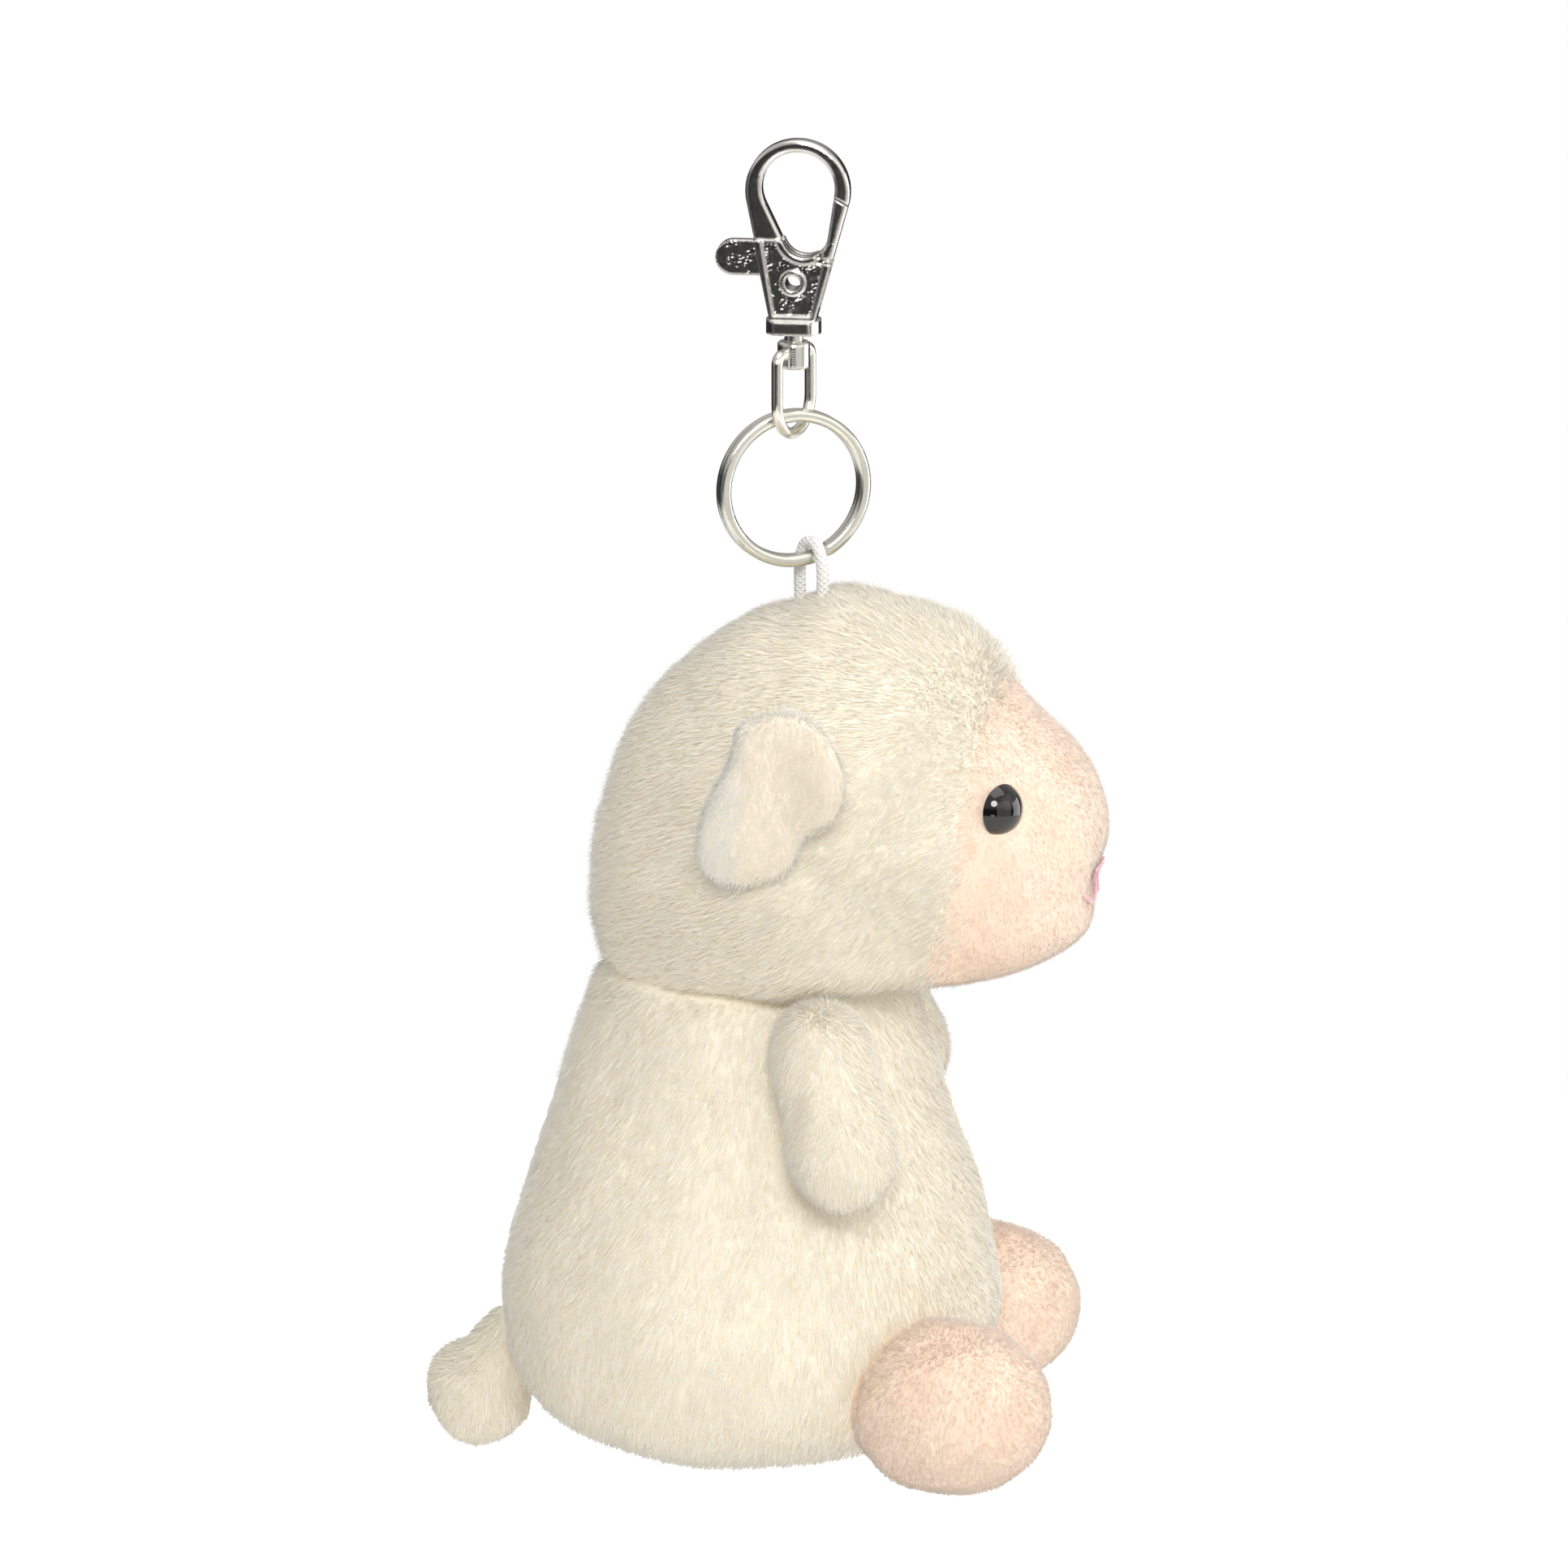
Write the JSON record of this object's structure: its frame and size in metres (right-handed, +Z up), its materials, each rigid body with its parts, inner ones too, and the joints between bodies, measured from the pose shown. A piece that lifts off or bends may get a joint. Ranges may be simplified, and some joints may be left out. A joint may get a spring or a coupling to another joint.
{
  "type": "plush keychain",
  "caption": "Small sewn plush lamb hanging by a cord loop from a split ring, a wire bail and a swivel snap hook.",
  "frame": {"origin": "inside of the hook's top, where the keychain hangs", "axes": "+Z up along the hanging chain; -Y is the way the lamb looks; the lamb's right side is at -X and the hook lies in the YZ plane"},
  "size_m": [0.0718, 0.0854, 0.1662],
  "materials": {
    "nickel_cast": "nickel plated zinc casting, polished, fine pebbling in the sunk fields",
    "nickel_turned": "nickel plated, turned and polished",
    "nickel_wire": "nickel plated steel wire, bright",
    "nickel_ring": "nickel plated spring steel, bright, light rubbing along the coils",
    "spring_wire": "spring steel wire",
    "cord": "white braided nylon cord, slight gloss",
    "cream_plush": "short dense polyester plush, cream",
    "peach_plush": "very short velboa plush, pale peach",
    "polyester_fill": "polyester fibre filling",
    "bag_cloth": "thin non-woven bag",
    "pellets": "polyethylene pellets",
    "pink_thread": "pink embroidery thread, satin stitch",
    "eye_black": "moulded black safety eye, high gloss",
    "washer_plastic": "moulded lock washer"
  },
  "bodies": {
    "clasp": {"clasp_body": "nickel_cast", "clasp_rivet": "nickel_turned", "gate_spring": "spring_wire", "swivel_stud": "nickel_turned"},
    "gate": {"clasp_gate": "nickel_cast"},
    "swivel": {"swivel_ferrule": "nickel_turned"},
    "bail": {"bail": "nickel_wire"},
    "ring": {"split_ring": "nickel_ring"},
    "plush": {"hang_cord": "cord", "cord_knot": "cord", "head_cover": "cream_plush", "face_cover": "peach_plush", "head_stuffing": "polyester_fill", "body_cover": "cream_plush", "body_stuffing": "polyester_fill", "pellet_bag": "bag_cloth", "pellet_fill": "pellets", "nose_stitches": "pink_thread", "eye_right": "eye_black", "eye_washer_right": "washer_plastic", "foot_cover_right": "peach_plush", "foot_stuffing_right": "polyester_fill", "eye_left": "eye_black", "eye_washer_left": "washer_plastic", "foot_cover_left": "peach_plush", "foot_stuffing_left": "polyester_fill"},
    "arm_right": {"arm_cover_right": "cream_plush", "arm_stuffing_right": "polyester_fill"},
    "ear_right": {"ear_back_right": "cream_plush", "ear_lining_right": "peach_plush"},
    "arm_left": {"arm_cover_left": "cream_plush", "arm_stuffing_left": "polyester_fill"},
    "ear_left": {"ear_back_left": "cream_plush", "ear_lining_left": "peach_plush"},
    "tail": {"tail_cover": "cream_plush", "tail_stuffing": "polyester_fill"}
  },
  "joints": [
    {"name": "gate_hinge", "type": "hinge", "parent": "clasp", "child": "gate", "pos_m": [0, 0.00055, -0.0162], "axis": [-1, 0, 0], "range_deg": [0, 25], "stiffness_Nm_per_rad": 0.012, "springref_deg": -17.19},
    {"name": "swivel_spin", "type": "hinge", "parent": "clasp", "child": "swivel", "pos_m": [0, 0.0006, -0.024], "axis": [0, 0, 1], "continuous": true},
    {"name": "bail_swing", "type": "hinge", "parent": "swivel", "child": "bail", "pos_m": [0, 0.0006, -0.025], "axis": [-0.9272, 0.3746, 0], "range_deg": [-85, 85]},
    {"name": "ring_swing", "type": "hinge", "parent": "bail", "child": "ring", "pos_m": [0, 0.0006, -0.0352], "axis": [-0.9272, 0.3746, 0], "range_deg": [-25, 25]},
    {"name": "plush_swing", "type": "hinge", "parent": "ring", "child": "plush", "pos_m": [0.00103, -0.00146, -0.0509], "axis": [-0.4317, 0.8659, -0.2527], "range_deg": [-70, 70]},
    {"name": "arm_lift_right", "type": "hinge", "parent": "plush", "child": "arm_right", "pos_m": [-0.023, -0.005, -0.1065], "axis": [0, 1, 0], "range_deg": [0, 55], "stiffness_Nm_per_rad": 0.004},
    {"name": "ear_lift_right", "type": "hinge", "parent": "plush", "child": "ear_right", "pos_m": [-0.0256, -0.0026, -0.0647], "axis": [0, 1, 0], "range_deg": [0, 60], "stiffness_Nm_per_rad": 0.002},
    {"name": "arm_lift_left", "type": "hinge", "parent": "plush", "child": "arm_left", "pos_m": [0.023, -0.005, -0.1065], "axis": [0, -1, 0], "range_deg": [0, 55], "stiffness_Nm_per_rad": 0.004},
    {"name": "ear_lift_left", "type": "hinge", "parent": "plush", "child": "ear_left", "pos_m": [0.0256, -0.0026, -0.0647], "axis": [0, -1, 0], "range_deg": [0, 60], "stiffness_Nm_per_rad": 0.002},
    {"name": "tail_lift", "type": "hinge", "parent": "plush", "child": "tail", "pos_m": [0, 0.0348, -0.1493], "axis": [1, 0, 0], "range_deg": [0, 25], "stiffness_Nm_per_rad": 0.002}
  ]
}
